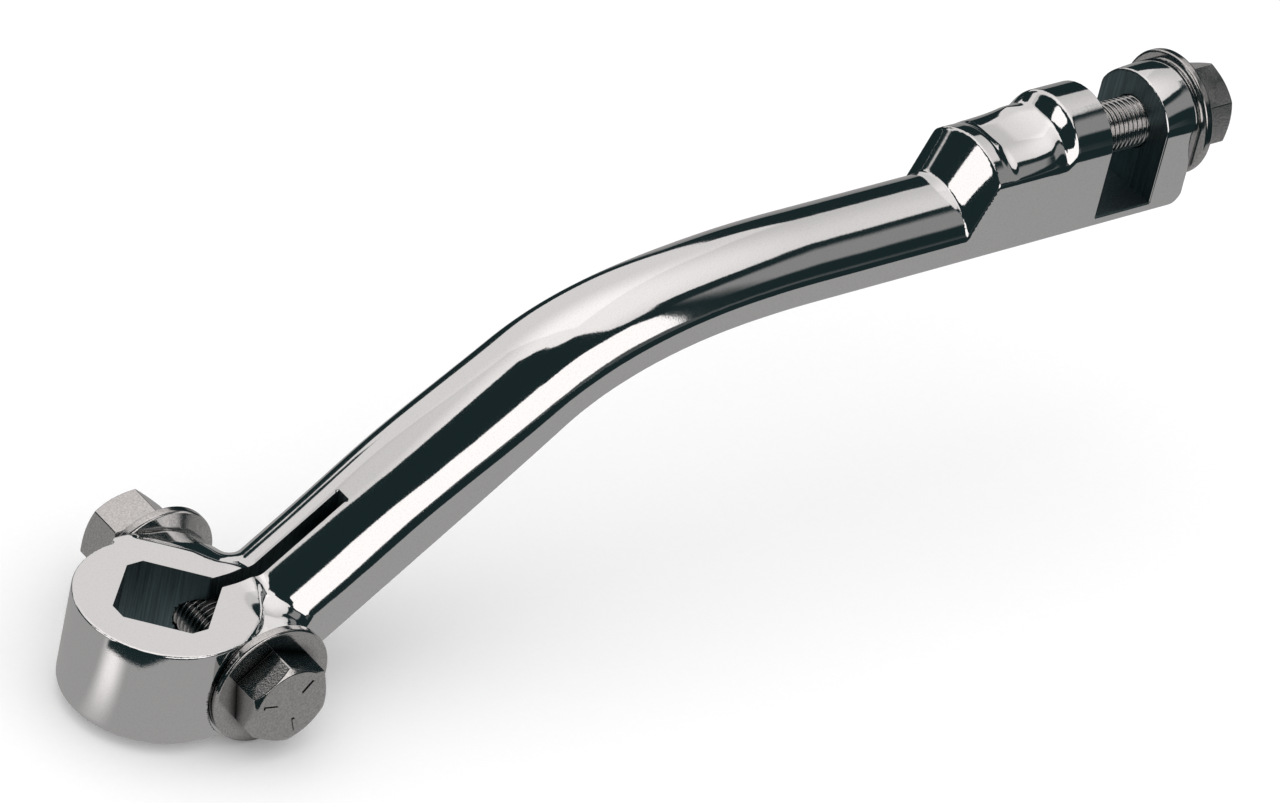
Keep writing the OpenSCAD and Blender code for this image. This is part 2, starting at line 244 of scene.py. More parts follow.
class Forging:
    """The lever arm's field."""

    def __init__(self, group):
        s = self.s = millimetres(group)
        self.ca, self.sa = math.cos(s.rise), math.sin(s.rise)
        self.under_z = s.axis_z - s.under_drop
        self.corner_x = s.root_x + self.under_z * self.ca / self.sa
        self.bend = np.array([
            [self.corner_x - s.bend_in * self.ca, self.under_z - s.bend_in * self.sa + s.skin],
            [self.corner_x, self.under_z],
            [self.corner_x + s.bend_out, self.under_z]])
        self.ear_x = s.gap_x + s.gap_w
        self.end_x = self.ear_x + s.ear_t
        self.boss_x = s.gap_x - s.boss_len
        self.waist_x = self.boss_x - s.waist_len
        self.crest_x = self.waist_x - s.collar_len
        self.slant_x = self.crest_x - s.slant_len
        self.pinch_z = s.hub_h / 2
        self.make_rules()

    def make_rules(self):
        """Side height, crown height, half width and level half width over each foot on the underside."""
        s = self.s
        step, reach = 0.1, 4
        x = np.arange(0, self.end_x + 5, step)
        along = between(x, self.bend[0, 0] - s.bend_in, self.bend[0, 0] + s.bend_out)
        away = between(x, *LEAVES_HUB)
        side = mix(s.side_root, s.side_h, away)
        in_waist = between(x - self.waist_x, *WAIST_IN) * between(self.boss_x - x, *WAIST_OUT)
        past_cut = between(x, s.slot_end, s.slot_end + LEVEL_GROWS)
        level = s.level_top * mix(LEVEL_AT_CUT, 1, past_cut) * (1 - away) + s.waist_level * in_waist
        half = mix(s.arm_w, s.fork_w, along) / 2
        # the higher sides beside the hub leave the whole height as it is
        crown = mix(s.crown_inner, s.crown_outer, along) + s.side_h - side
        # the fork end: collar, waist, boss and ear
        boss_r = s.fork_w / 2 + s.boss_proud
        boss_side = math.sqrt(boss_r ** 2 - s.fork_w ** 2 / 4)
        side_collar = s.axis_z + s.collar_side - self.under_z
        side_boss = s.under_drop + boss_side
        crown_boss = boss_r - boss_side
        t = (x - self.waist_x) / s.waist_len
        side = np.where(x > self.bend[2, 0], np.interp(
            x, [self.slant_x, self.crest_x, mix(self.waist_x, self.boss_x, WAIST_SIDE), self.boss_x - 0.4],
            [s.side_h, side_collar, side_collar, side_boss]), side)
        low = s.collar_crown - s.waist_dip
        climb = np.clip((t - WAIST_DROP) / (1 - WAIST_DROP), 0, 1)
        hollow = mix(s.collar_crown, low, ease(t / WAIST_DROP))
        hollow += (crown_boss - low) * mix(climb ** 3, climb, WAIST_STRAIGHT)
        crown = np.where(x > self.slant_x, np.interp(
            x, [self.slant_x, self.crest_x], [s.crown_outer, s.collar_crown]), crown)
        crown = np.where(x > self.waist_x, np.where(x < self.boss_x, hollow, crown_boss), crown)
        inward = np.clip((self.end_x - 2 - x) / s.ear_t, 0, 1)
        crown = crown - np.where(x > self.ear_x - 1, s.ear_barrel * inward ** 2, 0)
        weights = np.hanning(2 * reach + 3)[1:-1]
        weights /= weights.sum()

        def polished(rule):
            return np.convolve(np.pad(rule, reach, mode="edge"), weights, mode="valid")

        self.rule_x = x
        self.rules = polished(side), polished(crown), polished(half), polished(level)

    def over_underside(self, x, z):
        """Each point's foot on the underside's line, its height over it, and how far along the slope."""
        s = self.s
        dx, dz = x - s.root_x, z - s.skin
        u = dx * self.ca + dz * self.sa
        h = dz * self.ca - dx * self.sa
        foot = s.root_x + u * self.ca
        b0, b1, b2 = self.bend
        past = ((x - b0[0]) * self.ca + (z - b0[1]) * self.sa) > 0
        level = x >= b2[0]
        h = np.where(level, z - self.under_z, h)
        foot = np.where(level, x, foot)
        on_bend = past & ~level
        if on_bend.any():
            px, pz = x[on_bend], z[on_bend]
            chord = b2 - b0
            t = np.clip(((px - b0[0]) * chord[0] + (pz - b0[1]) * chord[1]) / (chord @ chord), 0, 1)
            leg_in, leg_out = b1 - b0, b2 - b1
            change = leg_out - leg_in
            for last in (False, False, False, False, True):
                a = 1 - t
                cx = a * a * b0[0] + 2 * a * t * b1[0] + t * t * b2[0] - px
                cz = a * a * b0[1] + 2 * a * t * b1[1] + t * t * b2[1] - pz
                vx = 2 * (a * leg_in[0] + t * leg_out[0])
                vz = 2 * (a * leg_in[1] + t * leg_out[1])
                if not last:
                    slope = vx * vx + vz * vz + 2 * (cx * change[0] + cz * change[1])
                    t = np.clip(t - (cx * vx + cz * vz) / np.maximum(slope, 1e-3), 0, 1)
            h[on_bend] = (cx * vz - cz * vx) / np.hypot(vx, vz)
            foot[on_bend] = cx + px
        return foot, h, u

    def arm(self, x, y, z):
        """The plain bar along the underside's line, with flat sides under a rounded top."""
        s = self.s
        foot, h, u = self.over_underside(x, z)
        side, crown, half, level = (np.interp(foot, self.rule_x, rule) for rule in self.rules)
        beside = half - level
        r = (beside * beside + crown * crown) / (2 * crown)
        top = np.hypot(np.maximum(np.abs(y) - level, 0), np.maximum(h - side - crown + r, 0)) - r
        flat = np.abs(y) - half
        end = x - self.end_x
        f = meet(flat, -h, s.edge_r)
        f = soft_max(f, top, TOP_EDGE)
        f = meet(f, end, s.end_bevel)
        f = np.maximum(f, meet(-h, end, s.ear_corner))
        return np.maximum(f, -u)

    def top(self, x, y, z):
        """Metal under the hub's outer face, which falls off beside the arm's root."""
        s = self.s
        beside = np.hypot(np.maximum(np.abs(y) - s.shoulder_y, 0), s.shoulder_round) - s.shoulder_round
        along = np.hypot(np.maximum(x - s.shoulder_x, 0), s.shoulder_round) - s.shoulder_round
        return z - s.hub_h + SHOULDER_FALL * beside * along

    def lug(self, x, y, z):
        """The clamp bolt's lug: a block whose top leans down to its round outer end."""
        s = self.s
        round_end = np.hypot(x - s.lug_x, z - s.lug_r) - s.lug_r
        ex, ez = s.lug_x + s.lug_r * math.sin(s.lug_lean), s.lug_r * (1 + math.cos(s.lug_lean))
        fall = np.array([ex - s.lug_level, ez - s.hub_h])
        fall /= np.linalg.norm(fall)
        lean = (z - s.hub_h) * fall[0] - (x - s.lug_level) * fall[1]
        edge = np.array([ex - s.lug_x, ez])
        edge /= np.linalg.norm(edge)
        back = (x - s.lug_x) * edge[1] - z * edge[0]
        block = np.maximum(np.maximum(-z, back), lean)
        f = np.maximum(np.minimum(round_end, block), -x)
        return meet(meet(f, -y - s.seat_near, LUG_EDGE), y - s.seat_far, LUG_EDGE)

    def hub_end(self, x, y, z, arm):
        """Hub and lug joined to the arm, with the square hole, the saw cut and the clamp bolt's hole."""
        s = self.s
        wall = np.hypot(x, y) - s.hub_d / 2
        body = join(meet(wall, -z, s.hub_round), self.lug(x, y, z), LUG_JOIN)
        edge = mix(s.hub_bevel, s.far_round, between(x, *EDGE_ALONG) * between(y, *EDGE_ACROSS))
        body = meet(body, self.top(x, y, z), edge)
        f = join(body, arm, mix(s.fillet, s.valley, between(z - s.hub_h / 2, *VALLEY_UP)))
        f = np.maximum(f, join(self.top(x, y, z), arm, s.hub_fillet))
        f = np.maximum(f, -z)
        across, other = np.abs(x + y) / math.sqrt(2), np.abs(y - x) / math.sqrt(2)
        half = s.square_side / 2
        square = np.maximum(np.maximum(across, other) - half,
                            (across + other - 2 * half + s.square_blunt) / math.sqrt(2))
        f = np.maximum(f, -square)
        cut = np.maximum(np.maximum(np.abs(y) - s.slot_w / 2, x - s.slot_end), -x)
        f = np.maximum(f, -cut)
        from_bolt = np.hypot(x - s.pinch_x, z - self.pinch_z)
        f = np.maximum(f, self.clear_r - from_bolt)
        outside = np.where(y < 0, y + s.seat_near, s.seat_far - y)
        return meet(f, -np.maximum(from_bolt - self.seat_r, outside), SEAT_EDGE)

    def fork_end(self, x, y, z, f):
        """The arm's end with its gap, its tapped hole and the ear's plain hole."""
        s = self.s
        gap = np.maximum(np.maximum(s.gap_x - x, x - self.ear_x), self.under_z + s.floor_t - z)
        f = meet(f, -gap, GAP_EDGE)
        from_axis = np.hypot(y, z - s.axis_z)
        tapped = np.maximum(from_axis - self.thread_r, s.gap_x - self.tap_deep - x)
        plain = np.maximum(from_axis - self.clear_r, self.ear_x - 1 - x)
        return np.maximum(f, -np.minimum(np.maximum(tapped, x - s.gap_x - 1), plain))

    def fit(self, group):
        """Takes over the fasteners' sizes, for the holes that they sit in."""
        f = millimetres(group)
        self.thread_r = f.thread_d / 2
        self.clear_r = self.thread_r + f.clear
        self.seat_r = f.washer_d / 2 + 0.4
        self.tap_deep = f.thread_in + 1.5
        return self

    def __call__(self, p):
        x, y, z = p.T
        f = self.arm(x, y, z)
        for zone, shape in ((x < 45, self.hub_end), (x > 170, self.fork_end)):
            if zone.any():
                f[zone] = shape(x[zone], y[zone], z[zone], f[zone])
        return f


# Skin over a field

def slope_of(field, p, step=2e-3):
    """The field's unit normals at points."""
    g = np.empty_like(p)
    for k in range(3):
        q = p.copy()
        q[:, k] += step
        ahead = field(q)
        q[:, k] -= 2 * step
        g[:, k] = ahead - field(q)
    return g / np.maximum(np.linalg.norm(g, axis=1, keepdims=True), 1e-12)


# Cells along one side of a block of the lattice, which is worked out or left out as a whole, the value
# that stands for a block left out, the share of a block's diagonal at which it is left out, and how many
# are worked out at once
BLOCK = 8
FAR = 9.0
LEFT_OUT = 0.65
AT_ONCE = 800


def graded(low, high, places, cells):
    """Lattice lines from low to high, spaced by the cells wanted at places."""
    at = np.linspace(low, high, 4000)
    count = np.concatenate([[0], np.cumsum(np.diff(at) / np.interp(at[:-1], places, cells))])
    whole = math.ceil(count[-1] / BLOCK) * BLOCK
    return np.interp(np.linspace(0, count[-1], whole + 1), count, at)


def spots(lines, index):
    """Lattice points as places in millimetres."""
    return np.stack([lines[k][index[..., k]] for k in range(3)], -1)


def every(counts):
    return np.stack(np.meshgrid(*map(np.arange, counts), indexing="ij"), -1).reshape(-1, 3)


def sample(field, lines):
    """The field on a lattice, worked out near the surface and filled with its sign elsewhere."""
    coarse = [line[::BLOCK] for line in lines]
    counts = [len(line) - 1 for line in coarse]
    at = every(counts)
    low, high = spots(coarse, at), spots(coarse, at + 1)
    middle = field((low + high) / 2)
    values = np.where(middle.reshape(counts) > 0, FAR, -FAR)
    for axis in range(3):
        values = np.repeat(values, BLOCK, axis)
    values = np.pad(values, ((0, 1),) * 3, mode="edge")
    inner = every([BLOCK + 1] * 3)
    near = at[np.abs(middle) < LEFT_OUT * np.linalg.norm(high - low, axis=1)]
    for start in range(0, len(near), AT_ONCE):
        index = (near[start:start + AT_ONCE, None] * BLOCK + inner[None]).reshape(-1, 3)
        values[tuple(index.T)] = field(spots(lines, index))
    return values


def crossings(field, values, lines):
    """Lattice edges that the surface crosses: their start, axis, crossing and side."""
    inside = values < 0
    starts, axes = [], []
    for axis in range(3):
        here = [slice(None)] * 3
        there = [slice(None)] * 3
        here[axis], there[axis] = slice(0, -1), slice(1, None)
        found = np.argwhere(inside[tuple(here)] != inside[tuple(there)])
        starts.append(found)
        axes.append(np.full(len(found), axis))
    starts, axes = np.concatenate(starts), np.concatenate(axes)
    unit = np.eye(3, dtype=int)[axes]
    low, high = spots(lines, starts), spots(lines, starts + unit)
    fa, fb = values[tuple(starts.T)], values[tuple((starts + unit).T)]
    outward = fa < 0
    a, b = np.zeros(len(starts)), np.ones(len(starts))
    for halve in (False, True, False, True, False):
        t = (a + b) / 2 if halve else a - fa * (b - a) / (fb - fa)
        f = field(mix(low, high, t[:, None]))
        same = (f < 0) == (fa < 0)
        a, fa = np.where(same, t, a), np.where(same, f, fa)
        b, fb = np.where(same, b, t), np.where(same, fb, f)
    t = a - fa * (b - a) / (fb - fa)
    return starts, axes, mix(low, high, t[:, None]), outward


# The four cells round a lattice edge, in turning order, for an edge along each axis
AROUND = np.array([[[0, 0, 0], [0, -1, 0], [0, -1, -1], [0, 0, -1]],
                   [[0, 0, 0], [0, 0, -1], [-1, 0, -1], [-1, 0, 0]],
                   [[0, 0, 0], [-1, 0, 0], [-1, -1, 0], [0, -1, 0]]])


# Pull across a cell's surface, against the strongest, that still moves its vertex, and the length of a
# cell's mean normal over which it has no sharp edge
WEAK_PULL = 0.06
SMOOTH = 0.98


def skin(field, lines):
    """Triangles over a field, with a vertex on each sharp edge, and a normal for each corner."""
    starts, axes, hits, outward = crossings(field, sample(field, lines), lines)
    normals = slope_of(field, hits)
    size = [len(line) + 1 for line in lines]
    cells = starts[:, None] + AROUND[axes] + 1
    codes, quads = np.unique((cells[..., 0] * size[1] + cells[..., 1]) * size[2] + cells[..., 2],
                             return_inverse=True)
    quads = quads.reshape(-1, 4)
    total = len(codes)
    place = np.stack(np.unravel_index(codes, size), -1) - 1
    owner, source = quads.ravel(), np.repeat(np.arange(len(starts)), 4)

    def gathered(value):
        return np.bincount(owner, weights=value[source], minlength=total)

    hit_count = np.bincount(owner, minlength=total)[:, None]
    centre = np.stack([gathered(hits[:, k]) for k in range(3)], -1) / hit_count
    reach = (normals * hits).sum(1)
    plane = np.stack([gathered(normals[:, k] * reach) for k in range(3)], -1)
    matrix = np.empty((total, 3, 3))
    for i in range(3):
        for j in range(3):
            matrix[:, i, j] = gathered(normals[:, i] * normals[:, j])
    strength, turn = np.linalg.eigh(matrix)
    left = np.einsum("nji,nj->ni", turn, plane - np.einsum("nij,nj->ni", matrix, centre))
    left = np.where(strength > WEAK_PULL * strength[:, 2:], left / np.maximum(strength, 1e-9), 0)
    low, high = spots(lines, place), spots(lines, place + 1)
    points = np.clip(centre + np.einsum("nij,nj->ni", turn, left), low, high)
    mean = np.stack([gathered(normals[:, k]) for k in range(3)], -1) / hit_count
    smooth = np.linalg.norm(mean, axis=1) > SMOOTH
    most = 0.3 * (high - low).min(1)
    for _ in range(2):
        points -= np.clip(field(points), -most, most)[:, None] * slope_of(field, points)
    quads = np.where(outward[:, None], quads, quads[:, ::-1])
    # a four-sided face is split along the diagonal that lies closer to the surface
    first = np.abs(field((points[quads[:, 0]] + points[quads[:, 2]]) / 2))
    second = np.abs(field((points[quads[:, 1]] + points[quads[:, 3]]) / 2))
    split = (first <= second)[:, None]
    faces = np.concatenate([np.where(split, quads[:, [0, 1, 2]], quads[:, [0, 1, 3]]),
                            np.where(split, quads[:, [0, 2, 3]], quads[:, [1, 2, 3]])])
    shade = slope_of(field, points)[faces]
    edgy = np.argwhere(~smooth[faces])
    corner = points[faces[edgy[:, 0], edgy[:, 1]]]
    inward = points[faces[edgy[:, 0]]].mean(1)
    # beside a sharp edge, a corner's normal is the one a third of the way into its own face
    shade[edgy[:, 0], edgy[:, 1]] = slope_of(field, mix(corner, inward, 0.35))
    return points, faces, shade


def plain_mesh(name, points, faces, shade=None):
    """A mesh in metres from points in millimetres, with a normal for each corner of each face."""
    mesh = bpy.data.meshes.new(name)
    mesh.vertices.add(len(points))
    mesh.vertices.foreach_set("co", (points * MM).astype(np.float32).ravel())
    mesh.loops.add(faces.size)
    mesh.loops.foreach_set("vertex_index", faces.astype(np.int32).ravel())
    mesh.polygons.add(len(faces))
    mesh.polygons.foreach_set("loop_start", np.arange(0, faces.size, 3, dtype=np.int32))
    mesh.polygons.foreach_set("use_smooth", np.ones(len(faces), bool))
    mesh.update(calc_edges=True)
    mesh.validate()
    if shade is not None and len(mesh.loops) == faces.size:
        mesh.normals_split_custom_set(shade.reshape(-1, 3).tolist())
    return mesh


def piece(name, mesh, slot, *nodes):
    """Puts a finished mesh in the scene, where it stands for its nodes of the frame."""
    found = bpy.data.objects.new(name, mesh)
    bpy.context.scene.collection.objects.link(found)
    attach(found, ROOT)
    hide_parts(*nodes)
    return found


# Materials

MATHS, RANGE, NOISE = "ShaderNodeMath", "ShaderNodeMapRange", "ShaderNodeTexNoise"


def add(tree, kind, inputs=(), **settings):
    """Adds a node. inputs holds what goes in its sockets, in their order or by name or number: a value,
    the socket that feeds it, or a node, which feeds it from its first socket."""
    node = tree.nodes.new(kind)
    for key, value in settings.items():
        setattr(node, key, value)
    for key, value in inputs.items() if isinstance(inputs, dict) else enumerate(inputs):
        if isinstance(value, bpy.types.Node):
            value = value.outputs[0]
        if isinstance(value, bpy.types.NodeSocket):
            tree.links.new(value, node.inputs[key])
        else:
            node.inputs[key].default_value = value
    return node


def scale(mm):
    """A noise's scale from the size of its grains in millimetres."""
    return 1 / (mm * MM)


def new_material(name):
    material = bpy.data.materials.new(name)
    material.use_nodes = True
    material.node_tree.nodes.clear()
    return material, material.node_tree


def chrome_plate(colour):
    """Chromium plate over nickel on a polished forging: a hard, slightly blue mirror. The polishing
    leaves long low waves of about 9 mm, and the plate a faint grain that shows on the flat faces."""
    material, tree = new_material("chrome plate")
    place = add(tree, "ShaderNodeTexCoord").outputs["Object"]
    waves = add(tree, NOISE, {"Vector": place, "Scale": scale(9.09), "Detail": 1.0})
    grain = add(tree, NOISE, {"Vector": place, "Scale": scale(0.3125), "Detail": 2.0})
    speck = add(tree, RANGE, (grain, 0.45, 0.72))
    dull = [0.95 * c for c in colour]
    tint = add(tree, "ShaderNodeMix", {0: speck, 6: (*colour, 1), 7: (*dull, 1)}, data_type="RGBA")
    rough = add(tree, RANGE, (grain, 0.3, 0.7, 0.035, 0.075))
    low = add(tree, "ShaderNodeBump", {"Height": waves, "Strength": 0.35, "Distance": 0.1 * MM})
    fine = add(tree, "ShaderNodeBump", {
        "Height": grain, "Strength": 0.1, "Distance": 0.02 * MM, "Normal": low})
    shader = add(tree, "ShaderNodeBsdfPrincipled", {
        "Base Color": tint.outputs[2], "Metallic": 1.0, "Roughness": rough, "Normal": fine})
    add(tree, "ShaderNodeOutputMaterial", {"Surface": shader})
    return material


def cut_steel(colour):
    """Bare forged steel where it was broached, sawn and milled after plating: grey, with fine tool
    lines about 0.4 mm apart that run up the walls."""
    material, tree = new_material("milled bare steel")
    place = add(tree, "ShaderNodeTexCoord").outputs["Object"]
    drawn = add(tree, "ShaderNodeMapping", {
        "Vector": place, "Scale": (scale(0.3846), scale(0.3846), scale(11.11))})
    lines = add(tree, NOISE, {"Vector": drawn, "Scale": 1.0, "Detail": 3.0})
    tint = add(tree, RANGE, (lines, 0.3, 0.7, 0.55, 1.0))
    shade = add(tree, "ShaderNodeVectorMath", {0: colour, 3: tint}, operation="SCALE")
    bump = add(tree, "ShaderNodeBump", {"Height": lines, "Strength": 0.5, "Distance": 0.1 * MM})
    shader = add(tree, "ShaderNodeBsdfPrincipled", {
        "Base Color": shade, "Metallic": 1.0, "Roughness": 0.42, "Normal": bump})
    add(tree, "ShaderNodeOutputMaterial", {"Surface": shader})
    return material


def zinc_plate(colour, recess_shaded=False):
    """Bright zinc plate on rolled and cold-headed steel: a silver sheen with a grain of about 0.3 mm
    in its colour. On the clamp bolt and its washer, painted shade darkens the colour in the recesses
    that ambient occlusion finds."""
    material, tree = new_material("zinc plate with painted shade" if recess_shaded else "zinc plate")
    place = add(tree, "ShaderNodeTexCoord").outputs["Object"]
    grain = add(tree, NOISE, {"Vector": place, "Scale": scale(0.3333), "Detail": 3.0})
    wide = add(tree, NOISE, {"Vector": place, "Scale": scale(3.846), "Detail": 2.0})
    tint = add(tree, RANGE, (grain, 0.32, 0.68, 0.78, 1.08))
    if recess_shaded:
        # painted shade: the colour falls to a fifth where ambient occlusion within 4 mm finds a recess
        near = add(tree, "ShaderNodeAmbientOcclusion", {"Distance": 4 * MM}, samples=16).outputs["AO"]
        painted_shade = add(tree, RANGE, (near, 0.5, 0.86, 0.2, 1.0))
        tint = add(tree, MATHS, (tint, painted_shade), operation="MULTIPLY")
    shade = add(tree, "ShaderNodeVectorMath", {0: colour, 3: tint}, operation="SCALE")
    rough = add(tree, RANGE, (wide, 0.3, 0.7, 0.09, 0.17))
    bump = add(tree, "ShaderNodeBump", {"Height": grain, "Strength": 0.3, "Distance": 0.03 * MM})
    shader = add(tree, "ShaderNodeBsdfPrincipled", {
        "Base Color": shade, "Metallic": 1.0, "Roughness": rough, "Normal": bump})
    add(tree, "ShaderNodeOutputMaterial", {"Surface": shader})
    return material


# Zinc plate with shade painted into its recesses
def zinc_with_painted_shade(colour):
    return zinc_plate(colour, recess_shaded=True)


def once(name, make, colour):
    return bpy.data.materials.get(name) or make(tuple(colour))


# Fasteners

def placed(origin, axis, turn=0.0):
    """The move, in millimetres, that stands a fastener's own +Z along an axis at a point."""
    axis = Vector(axis)
    side = Vector((0, 0, 1)).cross(axis) if abs(axis.z) < 0.9 else Vector((1, 0, 0))
    side.normalize()
    made = Matrix((side, axis.cross(side), axis)).transposed().to_4x4()
    return Matrix.Translation(origin) @ made @ Matrix.Rotation(turn, 4, "Z")


def seats(lever, group):
    """Where each fastener sits: its move, with +Z out of its seat."""
    s, f = lever.s, millimetres(group)
    near, far, ear = (0, -1, 0), (0, 1, 0), (1, 0, 0)

    def at(axis, out):
        if axis is ear:
            return (lever.end_x + out, 0, s.axis_z)
        return (s.pinch_x, -s.seat_near - out if axis is near else s.seat_far + out, lever.pinch_z)
    stack = f.washer_t + f.lock_t
    return {
        "pinch_bolt": placed(at(near, f.washer_t), near),
        "pinch_head_washer": placed(at(near, 0), near),
        "pinch_nut_washer": placed(at(far, 0), far),
        "pinch_lock_washer": placed(at(far, f.washer_t), far),
        "pinch_nut": placed(at(far, stack), far),
        "pivot_bolt": placed(at(ear, stack), ear),
        "pivot_washer": placed(at(ear, 0), ear),
        "pivot_lock_washer": placed(at(ear, f.washer_t), ear),
    }


def hexagon(p, across, turn, edge):
    """A six-sided bar along Z."""
    x, y = p[:, 0], p[:, 1]
    flats = [np.abs(x * math.cos(turn + k * math.pi / 3) + y * math.sin(turn + k * math.pi / 3))
             for k in range(3)]
    return meet(meet(flats[0] - across / 2, flats[1] - across / 2, edge), flats[2] - across / 2, edge)


def cone_over(p, height, radius):
    """Metal under a 30 degree turned corner that starts at a radius of the top face."""
    lean = math.radians(30)
    return (p[:, 2] - height) * math.cos(lean) + (np.hypot(p[:, 0], p[:, 1]) - radius) * math.sin(lean)


# A dash on a head: its middle's distance from the axis, half its length and half its width
DASH_OUT, DASH_LONG, DASH_WIDE = 4.4, 1.4, 0.25
DASH_TURN = math.radians(48)
# Radius at which a head's and a nut's corners are turned away, over the size across the flats
HEAD_ROUND, NUT_ROUND = 0.485, 0.47
# Roundings of a hexagon's corners, a head's faces, a nut's faces, a hole's rim and a washer's split
CORNER_EDGE, HEAD_EDGE, NUT_EDGE, RIM_EDGE, SPLIT_EDGE = 0.15, 0.1, 0.12, 0.1, 0.12
# Cells of the lattices round heads and nut, and round washers, and the space left past their ends
HEAD_CELL, WASHER_CELL, MARGIN = 0.2, 0.25, 0.6


def grade_dashes(p, f, turn):
    """Three plain raised dashes on a head, 120 degrees apart, as strength grades have."""
    found = np.full(len(p), FAR)
    for k in range(3):
        a = turn + k * 2 * math.pi / 3
        out = p[:, 0] * math.cos(a) + p[:, 1] * math.sin(a)
        beside = np.abs(p[:, 1] * math.cos(a) - p[:, 0] * math.sin(a))
        found = np.minimum(found, np.maximum(np.abs(out - DASH_OUT) - DASH_LONG, beside - DASH_WIDE))
    return np.maximum(found, np.abs(p[:, 2] - f.head_h + 1) - 1)


def head_field(f, turn):
    """A bolt's head from z 0 up."""
    height = f.head_h - f.dash

    def field(p):
        metal = hexagon(p, f.across, turn, CORNER_EDGE)
        metal = meet(metal, np.abs(p[:, 2] - height / 2) - height / 2, HEAD_EDGE)
        metal = meet(metal, cone_over(p, height, f.across * HEAD_ROUND), HEAD_EDGE)
        return np.minimum(metal, grade_dashes(p, f, DASH_TURN))
    return field


def nut_field(f, turn):
    """The nut from z 0 up, with both its faces turned and its hole sunk a little at both ends."""
    def field(p):
        r, z = np.hypot(p[:, 0], p[:, 1]), p[:, 2]
        flipped = p * (1, 1, -1) + (0, 0, f.nut_h)
        metal = hexagon(p, f.across, turn, CORNER_EDGE)
        metal = meet(metal, np.abs(z - f.nut_h / 2) - f.nut_h / 2, NUT_EDGE)
        turned = [cone_over(q, f.nut_h, f.across * NUT_ROUND) for q in (p, flipped)]
        metal = meet(metal, np.maximum(*turned), CORNER_EDGE)
        hole = f.thread_d / 2 - r
        return meet(metal, np.maximum(hole, hole + 0.6 - np.minimum(f.nut_h - z, z)), RIM_EDGE)
    return field


def ring_field(outer, inner, thick, edge, split=None):
    """A washer from z 0 up. split gives the width and turn of a cut that leans through it."""
    def field(p):
        r = np.hypot(p[:, 0], p[:, 1])
        metal = meet(r - outer, np.abs(p[:, 2] - thick / 2) - thick / 2, edge)
        metal = meet(metal, inner - r, RIM_EDGE)
        if split:
            width, turn = split
            out = p[:, 0] * math.cos(turn) + p[:, 1] * math.sin(turn)
            beside = p[:, 1] * math.cos(turn) - p[:, 0] * math.sin(turn) - (p[:, 2] - thick / 2) * 0.47
            metal = meet(metal, -np.maximum(np.abs(beside) - width / 2, -out), SPLIT_EDGE)
        return metal
    return field


def turned_lines(reach, height, cell):
    """Even lattice lines round a fastener's own Z axis, from z 0 up to its height."""
    beside = graded(-reach, reach, [0], [cell])
    return [beside, beside, graded(-MARGIN, height + MARGIN, [0], [cell])]


def skin_mesh(name, field, reach, height, cell):
    return plain_mesh(name, *skin(field, turned_lines(reach, height, cell)))


# A thread's section, from 0 at the middle of its crest to 1 at the middle of its root: where the flat
# crest ends and the root starts, and how much of the way between them is rounded
CREST_END, ROOT_START, ROUNDED = 0.1, 0.92, 0.4


